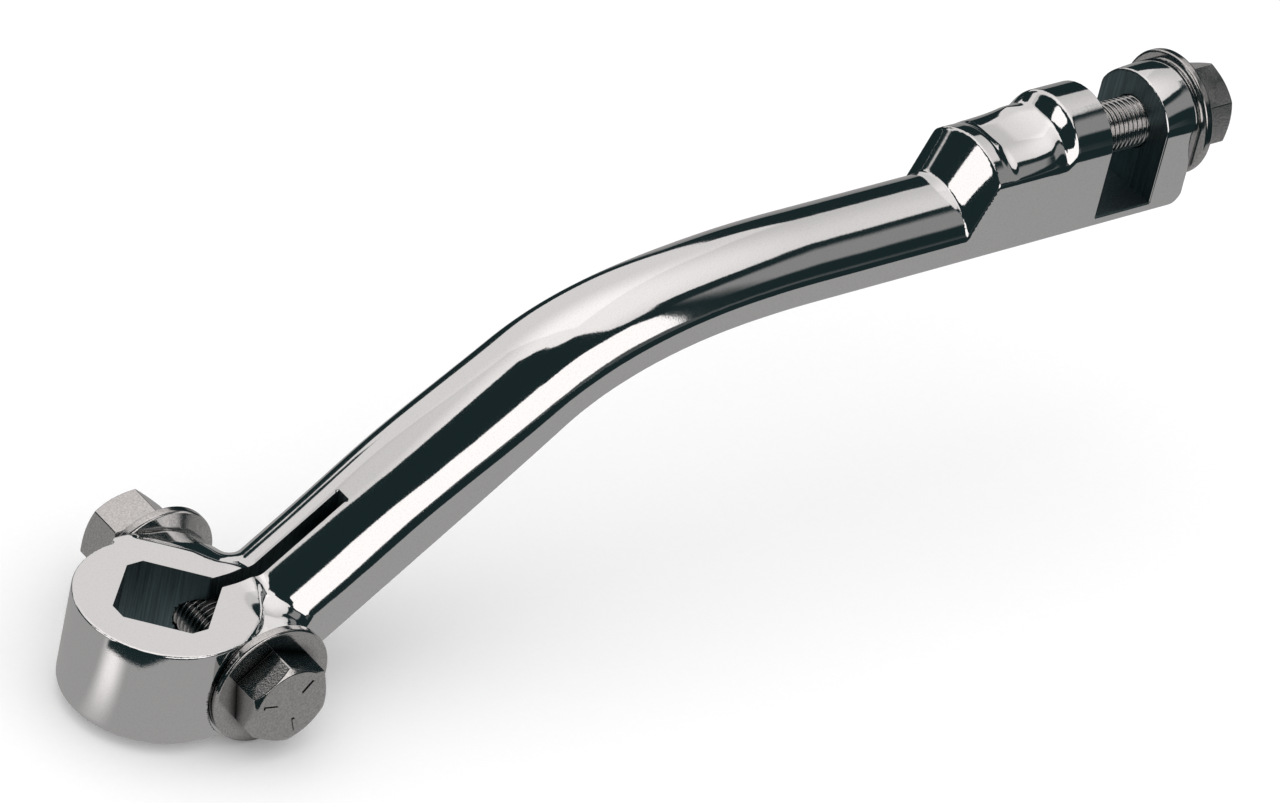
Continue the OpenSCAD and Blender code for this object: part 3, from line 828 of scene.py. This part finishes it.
def thread_tree():
    """Geometry Nodes tree for a threaded rod along -Z: a grid wound into a screw, with cone tips."""
    tree = bpy.data.node_groups.new("threaded rod", "GeometryNodeTree")
    for name, kind in (("Length", "NodeSocketFloat"), ("Radius", "NodeSocketFloat"),
                       ("Pitch", "NodeSocketFloat"), ("Depth", "NodeSocketFloat"),
                       ("Tip", "NodeSocketFloat"), ("Sides", "NodeSocketInt"),
                       ("Rows", "NodeSocketInt"), ("Material", "NodeSocketMaterial")):
        tree.interface.new_socket(name, in_out="INPUT", socket_type=kind)
    tree.interface.new_socket("Geometry", in_out="OUTPUT", socket_type="NodeSocketGeometry")
    given = add(tree, "NodeGroupInput").outputs
    # the grid's turns, with some to spare for both ends, and its rows
    turns = add(tree, MATHS, (given["Length"], given["Pitch"]), operation="DIVIDE")
    turns = add(tree, MATHS, (turns,), operation="CEIL")
    turns = add(tree, MATHS, (turns, 3.0), operation="ADD")
    rows = add(tree, MATHS, (turns, given["Rows"], 1.0), operation="MULTIPLY_ADD")
    columns = add(tree, MATHS, (given["Sides"], 1.0), operation="ADD")
    grid = add(tree, "GeometryNodeMeshGrid", {
        "Size X": 1.0, "Size Y": 1.0, "Vertices X": columns, "Vertices Y": rows})
    spot = add(tree, "ShaderNodeSeparateXYZ", (add(tree, "GeometryNodeInputPosition"),)).outputs
    # each point's share of its turn, the turns before it and its depth under the head
    share = add(tree, MATHS, (spot[0], 0.5), operation="ADD")
    before = add(tree, MATHS, (spot[1], 0.5), operation="ADD")
    before = add(tree, MATHS, (before, turns), operation="MULTIPLY")
    wound = add(tree, MATHS, (before, share), operation="ADD")
    wound = add(tree, MATHS, (wound, 2.0), operation="SUBTRACT")
    deep = add(tree, MATHS, (wound, given["Pitch"]), operation="MULTIPLY")
    deep = add(tree, MATHS, (deep, 0.0), operation="MAXIMUM")
    deep = add(tree, MATHS, (deep, given["Length"]), operation="MINIMUM")
    # a 60 degree ridge with a narrow flat crest and a rounded root
    saw = add(tree, MATHS, (before,), operation="FRACT")
    saw = add(tree, MATHS, (saw, 2.0, -1.0), operation="MULTIPLY_ADD")
    saw = add(tree, MATHS, (saw,), operation="ABSOLUTE")
    curved = add(tree, RANGE, (saw, CREST_END, ROOT_START, 0.0, ROUNDED), interpolation_type="SMOOTHERSTEP")
    straight = add(tree, RANGE, (saw, CREST_END, ROOT_START, 0.0, 1 - ROUNDED))
    cut = add(tree, MATHS, (curved, straight), operation="ADD")
    cut = add(tree, MATHS, (cut, given["Depth"]), operation="MULTIPLY")
    thread = add(tree, MATHS, (given["Radius"], cut), operation="SUBTRACT")
    # cones at both ends, which the last row closes
    left = add(tree, MATHS, (given["Length"], deep), operation="SUBTRACT")
    near_end = add(tree, MATHS, (deep, left), operation="MINIMUM")
    cone = add(tree, MATHS, (given["Radius"], given["Tip"]), operation="SUBTRACT")
    cone = add(tree, MATHS, (cone, near_end), operation="ADD")
    radius = add(tree, MATHS, (thread, cone), operation="MINIMUM")
    last = add(tree, MATHS, (spot[1],), operation="ABSOLUTE")
    inside = add(tree, MATHS, (last, 0.4999), operation="LESS_THAN")
    radius = add(tree, MATHS, (radius, inside), operation="MULTIPLY")
    turn = add(tree, MATHS, (share, 2 * math.pi), operation="MULTIPLY")
    beside = []
    for part in ("COSINE", "SINE"):
        ratio = add(tree, MATHS, (turn,), operation=part)
        beside.append(add(tree, MATHS, (radius, ratio), operation="MULTIPLY"))
    down = add(tree, MATHS, (deep, -1.0), operation="MULTIPLY")
    screw = add(tree, "ShaderNodeCombineXYZ", (*beside, down))
    placed_grid = add(tree, "GeometryNodeSetPosition", {"Geometry": grid, "Position": screw})
    closed = add(tree, "GeometryNodeMergeByDistance", {"Geometry": placed_grid, "Distance": 0.002 * MM})
    smooth = add(tree, "GeometryNodeSetShadeSmooth", {"Geometry": closed})
    real = add(tree, "GeometryNodeRealizeInstances", {"Geometry": smooth})
    coated = add(tree, "GeometryNodeSetMaterial", {"Geometry": real, "Material": given["Material"]})
    add(tree, "NodeGroupOutput", (coated,))
    return tree


def threaded_rod(f, rod_length, material):
    """A plain mesh of a threaded rod that hangs down from the origin, in metres."""
    tree = bpy.data.node_groups.get("threaded rod") or thread_tree()
    maker = bpy.data.objects.new("thread maker", bpy.data.meshes.new("thread maker"))
    bpy.context.scene.collection.objects.link(maker)
    modifier = maker.modifiers.new("thread", "NODES")
    modifier.node_group = tree
    values = {"Length": rod_length * MM, "Radius": f.thread_d / 2 * MM, "Pitch": f.pitch * MM,
              "Depth": f.thread_deep * MM, "Tip": 0.8 * MM, "Sides": f.turns_sides, "Rows": 10,
              "Material": material}
    for socket in tree.interface.items_tree:
        if socket.item_type == "SOCKET" and socket.name in values:
            modifier[socket.identifier] = values[socket.name]
    bpy.context.view_layer.update()
    made = bpy.data.meshes.new_from_object(maker.evaluated_get(bpy.context.evaluated_depsgraph_get()))
    bpy.data.objects.remove(maker)
    return made


def arrays(mesh):
    """A triangle mesh's points, faces and corner normals."""
    mesh.calc_loop_triangles()
    points = np.empty(len(mesh.vertices) * 3)
    mesh.vertices.foreach_get("co", points)
    faces = np.empty(len(mesh.loop_triangles) * 3, np.int32)
    mesh.loop_triangles.foreach_get("vertices", faces)
    loops = np.empty(len(mesh.loop_triangles) * 3, np.int32)
    mesh.loop_triangles.foreach_get("loops", loops)
    shade = np.empty(len(mesh.loops) * 3)
    mesh.corner_normals.foreach_get("vector", shade)
    shade = shade.reshape(-1, 3)[loops].reshape(-1, 3, 3)
    return points.reshape(-1, 3) / MM, faces.reshape(-1, 3), shade


def bolt_mesh(name, f, turn, shank, material):
    """Head and threaded shank of one bolt, head upwards, in one mesh."""
    buried = 0.5
    head = skin(head_field(f, turn), turned_lines(9, f.head_h, HEAD_CELL))
    rod = arrays(threaded_rod(f, shank + buried, material))
    rod = (rod[0] + (0, 0, buried), rod[1], rod[2])
    return plain_mesh(name, np.concatenate([head[0], rod[0]]),
                      np.concatenate([head[1], rod[1] + len(head[0])]),
                      np.concatenate([head[2], rod[2]]))


def settle(mesh, move):
    """Moves a fastener's mesh to its seat. The corner normals turn with it."""
    shade = np.empty(len(mesh.loops) * 3)
    mesh.corner_normals.foreach_get("vector", shade)
    turned = shade.reshape(-1, 3) @ np.array(move.to_3x3()).T
    made = move.copy()
    made.translation = move.translation * MM
    mesh.transform(made)
    mesh.normals_split_custom_set(turned.tolist())


def add_fastener(name, mesh, node, moves, material):
    settle(mesh, moves[node])
    mesh.materials.clear()
    mesh.materials.append(material)
    return piece(name, mesh, "plated_steel", node)


# Operators

# The low corner of the lattice round the forging, and where its cells grow and shrink again along the
# lever and up from the hub's inner face, in millimetres
LOW = (-18.2, -18.9, -1.7)
PLAIN_ALONG = (26, 34, 150, 156)
PLAIN_UP = (20, 24, 50, 54)


class KICKLEVER_OT_forging(Operator):
    """Builds the chromed forging: hub, lug, arm, collar, waist and fork"""
    bl_idname = "kicklever.forging"
    bl_label = "Forging"

    def execute(self, context):
        sizes = context.scene.kick_forging
        lever = Forging(sizes).fit(context.scene.kick_fasteners)
        s = lever.s
        lines = [
            graded(LOW[0], lever.end_x + 1, PLAIN_ALONG, [s.cell, s.cell_arm, s.cell_arm, s.cell]),
            graded(LOW[1], 19, [0], [s.cell]),
            graded(LOW[2], s.axis_z + 12, PLAIN_UP, [s.cell, s.cell_rise, s.cell_rise, s.cell])]
        points, faces, shade = skin(lever, lines)
        points[:, 2] = np.maximum(points[:, 2], 0)
        mesh = plain_mesh("forging", points, faces, shade)
        mesh.materials.append(once("chrome plate", chrome_plate, sizes.chrome))
        mesh.materials.append(once("milled bare steel", cut_steel, sizes.bare))
        middle = points[faces].mean(1)
        normal = shade.mean(1)
        x, y, z = middle.T
        upright = np.abs(normal[:, 2]) < 0.5
        in_gap = (x > s.gap_x - 0.05) & (x < lever.ear_x + 0.05) & (z > lever.under_z + s.floor_t - 0.1)
        in_hub = np.abs(x) + np.abs(y) < s.square_side * 0.72
        in_cut = (x > 0) & (x < s.slot_end + 0.05) & (np.abs(y) < s.slot_w / 2 + 0.02)
        bare = in_gap | (upright & (in_hub | in_cut))
        mesh.polygons.foreach_set("material_index", bare.astype(np.int32))
        piece("chromed_forging", mesh, "chrome", "lever_arm")
        return {"FINISHED"}


class KICKLEVER_OT_bolts(Operator):
    """Builds the clamp bolt and the pivot bolt with their rolled threads"""
    bl_idname = "kicklever.bolts"
    bl_label = "Bolts"

    def execute(self, context):
        group = context.scene.kick_fasteners
        lever = Forging(context.scene.kick_forging).fit(group)
        f = millimetres(group)
        f.turns_sides = group.turns_sides
        s = lever.s
        moves = seats(lever, group)
        plated = once("zinc plate", zinc_plate, group.plate)
        # the clamp bolt gets zinc plate with shade painted into its recesses
        recess_shaded = once("zinc plate with painted shade", zinc_with_painted_shade, group.plate)
        grip = s.seat_near + s.seat_far + 2 * f.washer_t + f.lock_t + f.nut_h + f.past
        reach = f.washer_t + f.lock_t + s.ear_t + s.gap_w + f.thread_in
        for name, turn, shank, finish in (("pinch_bolt", f.head_turn, grip, recess_shaded),
                                          ("pivot_bolt", f.pivot_turn, reach, plated)):
            mesh = bolt_mesh(name, f, turn, shank, finish)
            add_fastener("threaded_" + name, mesh, name, moves, finish)
        return {"FINISHED"}


class KICKLEVER_OT_nut(Operator):
    """Builds the clamp bolt's nut"""
    bl_idname = "kicklever.nut"
    bl_label = "Nut"

    def execute(self, context):
        group = context.scene.kick_fasteners
        lever = Forging(context.scene.kick_forging).fit(group)
        f = millimetres(group)
        mesh = skin_mesh("nut", nut_field(f, f.nut_turn), 9, f.nut_h, HEAD_CELL)
        add_fastener("hexagon_nut", mesh, "pinch_nut", seats(lever, group),
                     once("zinc plate", zinc_plate, group.plate))
        return {"FINISHED"}


class KICKLEVER_OT_washers(Operator):
    """Builds the three flat washers and the two split lock washers"""
    bl_idname = "kicklever.washers"
    bl_label = "Washers"

    def execute(self, context):
        group = context.scene.kick_fasteners
        lever = Forging(context.scene.kick_forging).fit(group)
        f = millimetres(group)
        moves = seats(lever, group)
        plated = once("zinc plate", zinc_plate, group.plate)
        recess_shaded = once("zinc plate with painted shade", zinc_with_painted_shade, group.plate)
        flat = ring_field(f.washer_d / 2, lever.clear_r + 0.1, f.washer_t, 0.45)
        for node in ("pinch_head_washer", "pinch_nut_washer", "pivot_washer"):
            mesh = skin_mesh(node, flat, 12, f.washer_t, WASHER_CELL)
            # the clamp bolt's head washer gets zinc plate with shade painted into its recesses
            finish = recess_shaded if node == "pinch_head_washer" else plated
            add_fastener("flat_" + node, mesh, node, moves, finish)
        for node, turn in (("pinch_lock_washer", 250), ("pivot_lock_washer", 120)):
            split = f.lock_split, math.radians(turn)
            field = ring_field(f.lock_d / 2, lever.clear_r, f.lock_t, 0.15, split)
            mesh = skin_mesh(node, field, 9.2, f.lock_t, WASHER_CELL)
            add_fastener("split_" + node, mesh, node, moves, plated)
        return {"FINISHED"}


# Stage

def stage_piece(name, mesh, material):
    found = bpy.data.objects.new(name, mesh)
    found.data.materials.append(material)
    bpy.context.scene.collection.objects.link(found)
    return found


def plane_mesh(name, half, z):
    mesh = bpy.data.meshes.new(name)
    corners = [(-half, -half, z), (half, -half, z), (half, half, z), (-half, half, z)]
    mesh.from_pydata(corners, [], [(0, 1, 2, 3)])
    return mesh


def dome_mesh(name, radius, rows, sides):
    """A ball round the origin, closed but for a pinhole at each pole."""
    heights = np.linspace(-math.pi / 2 + 0.001, math.pi / 2 - 0.001, rows)
    turns = np.arange(sides) * 2 * math.pi / sides
    points = [(radius * math.cos(b) * math.cos(a), radius * math.cos(b) * math.sin(a), radius * math.sin(b))
              for b in heights for a in turns]
    faces = []
    for row in range(rows - 1):
        for side in range(sides):
            low, beside = row * sides + side, row * sides + (side + 1) % sides
            faces.append((low, low + sides, beside + sides, beside))
    mesh = bpy.data.meshes.new(name)
    mesh.from_pydata(points, [], faces)
    return mesh


def only_in_metal(found):
    """A stage piece that only shows as a reflection."""
    for ray in ("camera", "diffuse", "transmission", "volume_scatter", "shadow"):
        setattr(found, "visible_" + ray, False)


def glow(tree, value):
    """Lights a surface: the colour of the dark wall at 0, and of a softbox at 1."""
    colour = add(tree, "ShaderNodeMix", {0: value, 6: (*linear(WALL), 1), 7: (*LIGHT, 1)},
                 data_type="RGBA", clamp_factor=False).outputs[2]
    light = add(tree, "ShaderNodeEmission", {"Color": colour, "Strength": 1.0})
    add(tree, "ShaderNodeOutputMaterial", {"Surface": light})


def window(tree, value, low, high, soft):
    """1 between low and high, falling to 0 over the soft edge outside them."""
    rise = add(tree, RANGE, (value, low - soft, low), interpolation_type="SMOOTHSTEP")
    fall = add(tree, RANGE, (value, high, high + soft, 1.0, 0.0), interpolation_type="SMOOTHSTEP")
    return add(tree, MATHS, (rise, fall), operation="MULTIPLY")


# The studio as the metal sees it, in degrees round the horizon and up from it. The big overhead
# softbox ends along this outline; the front softbox reaches from FRONT_RIGHT backwards to FRONT_LEFT.
OVERHEAD = ((-180, 78), (-98, 78), (-85, 74), (-78, 68), (-72, 58), (-65, 53.5), (-57, 54), (-50, 58),
            (-40, 56), (-30, 53.5), (-18, 52), (-8, 49), (8, 48), (17, 42), (25, 37), (35, 32), (45, 30),
            (55, 25), (59, 8), (63, -4), (70, 0), (78, 3), (88, 4), (93, 16), (104, 18), (107, 4),
            (118, 4), (120, 32), (128, 40), (136, 48), (146, 57), (156, 66), (166, 74), (180, 78))
FRONT_TOP = ((-180, 43), (-130, 40), (-110, 38), (-100, 37), (-92, 42), (-84, 45), (-66, 46),
             (-60, 40), (180, 43))
FRONT_FOOT = ((-180, 12), (-135, 12), (-108, 5), (-85, 1.5), (-76, 3), (-67, 12), (-60, 15), (180, 12))
FRONT_LEFT, FRONT_BREAK, FRONT_RIGHT = 149, -120, -61
# How bright each is against a softbox at 1: the overhead one at its edge and past 74 degrees up, what
# its far side adds, the front one, the dim patch and the glow below the front one
OVER_EDGE, OVER_TOP, OVER_FAR, FRONT, PATCH, BELOW = 0.58, 0.94, 0.14, 1.14, 0.24, 0.06
# Where those patches start and end and how soft their edges are, round the horizon and up, and how soft
# the softboxes' edges are
FAR_SIDE = (47, 112, 3)
PATCH_ROUND, PATCH_UP = (-48, -12, 8), (31, 44, 4)
BELOW_ROUND, BELOW_UP = (-122, -52, 6), (-9, -1.6, 1.5)
SOFT, SOFT_SIDE = 0.8, 1.2
WALL = "#1b282a"
LIGHT = (1.0, 0.955, 0.945)


def outline(tree, azimuth, places):
    """The elevation of a softbox's edge over each azimuth, straight from place to place."""
    share = add(tree, RANGE, (azimuth, -180.0, 180.0))
    node = add(tree, "ShaderNodeFloatCurve", {"Value": share})
    points = node.mapping.curves[0].points
    while len(points) < len(places):
        points.new(0.5, 0.5)
    for point, (azimuth_at, elevation_at) in zip(points, places):
        point.location = ((azimuth_at + 180) / 360, (elevation_at + 90) / 180)
        point.handle_type = "VECTOR"
    node.mapping.update()
    return add(tree, MATHS, (node, 180.0, -90.0), operation="MULTIPLY_ADD")


def studio_shell():
    """The dark room with its two softboxes and a dim patch between them, as the chrome shows it."""
    material, tree = new_material("studio shell")
    place = add(tree, "ShaderNodeTexCoord").outputs["Object"]
    way = add(tree, "ShaderNodeVectorMath", (place,), operation="NORMALIZE")
    x, y, z = add(tree, "ShaderNodeSeparateXYZ", (way,)).outputs
    azimuth = add(tree, MATHS, (y, x), operation="ARCTAN2")
    azimuth = add(tree, MATHS, (azimuth,), operation="DEGREES")
    elevation = add(tree, MATHS, (z,), operation="ARCSINE")
    elevation = add(tree, MATHS, (elevation,), operation="DEGREES")
    # the overhead softbox
    over = add(tree, MATHS, (elevation, outline(tree, azimuth, OVERHEAD)), operation="SUBTRACT")
    over = add(tree, RANGE, (over, -SOFT, SOFT), interpolation_type="SMOOTHSTEP")
    bright = add(tree, RANGE, (elevation, 34.0, 74.0, OVER_EDGE, OVER_TOP), interpolation_type="SMOOTHSTEP")
    far_side = window(tree, azimuth, *FAR_SIDE)
    bright = add(tree, MATHS, (far_side, OVER_FAR, bright), operation="MULTIPLY_ADD")
    total = add(tree, MATHS, (over, bright), operation="MULTIPLY")
    # the front softbox, in two stretches round the horizon
    above = add(tree, MATHS, (elevation, outline(tree, azimuth, FRONT_FOOT)), operation="SUBTRACT")
    below = add(tree, MATHS, (outline(tree, azimuth, FRONT_TOP), elevation), operation="SUBTRACT")
    behind = window(tree, azimuth, FRONT_LEFT, 190, SOFT_SIDE)
    beside = window(tree, azimuth, FRONT_BREAK, FRONT_RIGHT, SOFT_SIDE)
    front = add(tree, MATHS, (behind, beside), operation="MAXIMUM")
    for inward in (above, below):
        edge = add(tree, RANGE, (inward, -SOFT, SOFT), interpolation_type="SMOOTHSTEP")
        front = add(tree, MATHS, (front, edge), operation="MULTIPLY")
    # the dim patch between them and the glow below the front one
    patch = add(tree, MATHS, (window(tree, azimuth, *PATCH_ROUND), window(tree, elevation, *PATCH_UP)),
                operation="MULTIPLY")
    under = add(tree, MATHS, (window(tree, azimuth, *BELOW_ROUND), window(tree, above, *BELOW_UP)),
                operation="MULTIPLY")
    for light, strength in ((front, FRONT), (patch, PATCH), (under, BELOW)):
        light = add(tree, MATHS, (light, strength), operation="MULTIPLY")
        total = add(tree, MATHS, (total, light), operation="MAXIMUM")
    glow(tree, total)
    return material


# The card under the lever: its grey, how far it ends from the spindle axis round the hub and towards the
# camera, in metres, and the slanted end behind the arm, as a corner and a slope
CARD_GREY = 0.33
CARD_ROUND = 0.0395
CARD_END = 0.092
CARD_SIDE = math.radians(-150)
CARD_CORNER = (0.155, 0.102)
CARD_SLOPE = math.radians(59)
# The pale spot on it that the hub's wall shows: where it lies round the hub, half its width and how much
# it adds
SPOT_TURN, SPOT_HALF, SPOT_GREY = -20.0, 17.0, 0.6


def grey_card():
    """Grey card, as the chrome shows it."""
    material, tree = new_material("grey card")
    place = add(tree, "ShaderNodeTexCoord").outputs["Object"]
    x, y, _ = add(tree, "ShaderNodeSeparateXYZ", (place,)).outputs
    flat = add(tree, "ShaderNodeCombineXYZ", (x, y))
    far = add(tree, "ShaderNodeVectorMath", (flat,), operation="LENGTH").outputs["Value"]
    ahead = (math.cos(CARD_SIDE), math.sin(CARD_SIDE), 0)
    aside = (-math.sin(CARD_SIDE), math.cos(CARD_SIDE), 0)
    turn = add(tree, MATHS, [
        add(tree, "ShaderNodeVectorMath", (flat, way), operation="DOT_PRODUCT").outputs["Value"]
        for way in (aside, ahead)], operation="ARCTAN2")
    turn = add(tree, MATHS, (turn,), operation="DEGREES")
    # the spot
    from_spot = add(tree, MATHS, (turn, SPOT_TURN), operation="SUBTRACT")
    from_spot = add(tree, MATHS, (from_spot,), operation="ABSOLUTE")
    spot = add(tree, RANGE, (from_spot, SPOT_HALF, 1.0), interpolation_type="SMOOTHSTEP")
    past_hub = add(tree, RANGE, (far, 0.014, 0.036), interpolation_type="SMOOTHSTEP")
    spot = add(tree, MATHS, (spot, past_hub), operation="MULTIPLY")
    # the round end, which widens a little towards the lug
    widen = add(tree, MATHS, (turn, 8.0), operation="SUBTRACT")
    widen = add(tree, MATHS, (widen, 0.0), operation="MAXIMUM")
    widen = add(tree, MATHS, (widen, 0.00015, CARD_ROUND), operation="MULTIPLY_ADD")
    past = add(tree, MATHS, (far, widen), operation="SUBTRACT")
    past = add(tree, RANGE, (past, -0.0006, 0.0006), interpolation_type="SMOOTHSTEP")
    round_end = add(tree, MATHS, (past, window(tree, turn, -28, 60, 4)), operation="MULTIPLY")
    # the straight ends, towards the camera and behind the arm
    nearer = add(tree, MATHS, (y, -1.0), operation="MULTIPLY")
    near_end = add(tree, RANGE, (nearer, CARD_END, CARD_END + 0.005), interpolation_type="SMOOTHSTEP")
    behind = add(tree, RANGE, (y, CARD_CORNER[1] - 0.005, CARD_CORNER[1] + 0.003),
                 interpolation_type="SMOOTHSTEP")
    left = add(tree, "ShaderNodeVectorMath", (flat, (*CARD_CORNER, 0)), operation="SUBTRACT")
    left = add(tree, "ShaderNodeVectorMath", (left, (-math.sin(CARD_SLOPE), math.cos(CARD_SLOPE), 0)),
               operation="DOT_PRODUCT").outputs["Value"]
    left = add(tree, RANGE, (left, -0.012, 0.006), interpolation_type="SMOOTHSTEP")
    far_end = add(tree, MATHS, (behind, left), operation="MULTIPLY")
    ends = add(tree, MATHS, (round_end, near_end), operation="MAXIMUM")
    ends = add(tree, MATHS, (ends, far_end), operation="MAXIMUM")
    # its grey, a little darker far from the lever
    grey = add(tree, RANGE, (far, 0.15, 0.7, CARD_GREY, CARD_GREY - 0.1), interpolation_type="SMOOTHSTEP")
    grey = add(tree, MATHS, (spot, SPOT_GREY, grey), operation="MULTIPLY_ADD")
    kept = add(tree, MATHS, (1.0, ends), operation="SUBTRACT")
    grey = add(tree, MATHS, (grey, kept), operation="MULTIPLY")
    glow(tree, grey)
    return material


def pale_floor():
    """Matt white board, with a fibre of about 1 mm that hardly shows."""
    material, tree = new_material("white board")
    place = add(tree, "ShaderNodeTexCoord").outputs["Object"]
    fibre = add(tree, NOISE, {"Vector": place, "Scale": scale(1.111), "Detail": 2.0})
    tint = add(tree, RANGE, (fibre, 0.3, 0.7, 0.955, 0.965))
    shader = add(tree, "ShaderNodeBsdfDiffuse", {"Color": tint, "Roughness": 0.5})
    add(tree, "ShaderNodeOutputMaterial", {"Surface": shader})
    return material


def sky(scene):
    """White to the eye and in metal, and a little brighter as light on the floor."""
    world = bpy.data.worlds.new("white room")
    world.use_nodes = True
    tree = world.node_tree
    tree.nodes.clear()
    path = add(tree, "ShaderNodeLightPath").outputs
    seen = add(tree, MATHS, (path["Is Camera Ray"], path["Is Glossy Ray"]), operation="ADD")
    seen = add(tree, MATHS, (seen, path["Is Transmission Ray"]), operation="ADD", use_clamp=True)
    shown = add(tree, "ShaderNodeBackground", {"Color": (1, 1, 1, 1), "Strength": 1.0})
    light = add(tree, "ShaderNodeBackground", {"Color": (1, 1, 1, 1), "Strength": 1.06})
    both = add(tree, "ShaderNodeMixShader", (seen, light, shown))
    add(tree, "ShaderNodeOutputWorld", {"Surface": both})
    scene.world = world


def soft_lamp(name, place, aim, size, power):
    lamp = bpy.data.lights.new(name, "AREA")
    lamp.shape = "DISK"
    lamp.size = size
    lamp.energy = power
    found = bpy.data.objects.new(name, lamp)
    found.location = place
    found.rotation_euler = (Vector(aim) - Vector(place)).to_track_quat("-Z", "Y").to_euler()
    found.visible_glossy = False
    bpy.context.scene.collection.objects.link(found)


def camera(scene):
    """Stands where the photograph was taken from, 1.28 m away, through a long lens."""
    lens = bpy.data.cameras.new("camera")
    lens.sensor_width = 36.0
    lens.lens = 213.5
    lens.clip_start = 0.05
    found = bpy.data.objects.new("camera", lens)
    found.location = (-0.65933, -0.77976, 0.78457)
    found.rotation_euler = Euler([math.radians(a) for a in (54.6145, -10.8446, -36.5154)], "XYZ")
    scene.collection.objects.link(found)
    scene.camera = found


class KICKLEVER_OT_stage(Operator):
    """Sets up the floor, the studio that the chrome reflects, the lamps and the camera"""
    bl_idname = "kicklever.stage"
    bl_label = "Stage"

    def execute(self, context):
        scene = context.scene
        scene.view_settings.view_transform = "Standard"
        ground = CAD_BOX[0][2]
        stage_piece("floor", plane_mesh("floor", half=2.4, z=ground), pale_floor())
        only_in_metal(stage_piece("card", plane_mesh("card", half=2.3, z=ground + 0.0002), grey_card()))
        shell = dome_mesh("shell", radius=2.6, rows=24, sides=48)
        only_in_metal(stage_piece("shell", shell, studio_shell()))
        sky(scene)
        soft_lamp("overhead lamp", place=(0.1, 0.3, 1.3), aim=(0.1, 0, 0), size=1.2, power=1.6)
        camera(scene)
        return {"FINISHED"}


class KICKLEVER_PT_panel(Panel):
    """Lists the lever's pieces and their sizes"""
    bl_label = "Kick start lever"
    bl_idname = "KICKLEVER_PT_panel"
    bl_space_type = "VIEW_3D"
    bl_region_type = "UI"
    bl_category = "Kick Lever"

    def draw(self, context):
        for operator in OPERATORS:
            self.layout.operator(operator.bl_idname)
        for group in (context.scene.kick_forging, context.scene.kick_fasteners):
            box = self.layout.box()
            for key in group.__annotations__:
                box.prop(group, key)


OPERATORS = (KICKLEVER_OT_forging, KICKLEVER_OT_bolts, KICKLEVER_OT_nut, KICKLEVER_OT_washers,
             KICKLEVER_OT_stage)
CLASSES = (KickLeverForging, KickLeverFasteners, *OPERATORS, KICKLEVER_PT_panel)


def register():
    for cls in CLASSES:
        bpy.utils.register_class(cls)
    bpy.types.Scene.kick_forging = PointerProperty(type=KickLeverForging)
    bpy.types.Scene.kick_fasteners = PointerProperty(type=KickLeverFasteners)


def unregister():
    del bpy.types.Scene.kick_forging
    del bpy.types.Scene.kick_fasteners
    for cls in reversed(CLASSES):
        bpy.utils.unregister_class(cls)


def main():
    register()
    for operator in OPERATORS:
        group, name = operator.bl_idname.split(".")
        getattr(getattr(bpy.ops, group), name)()


if __name__ == "__main__":
    main()
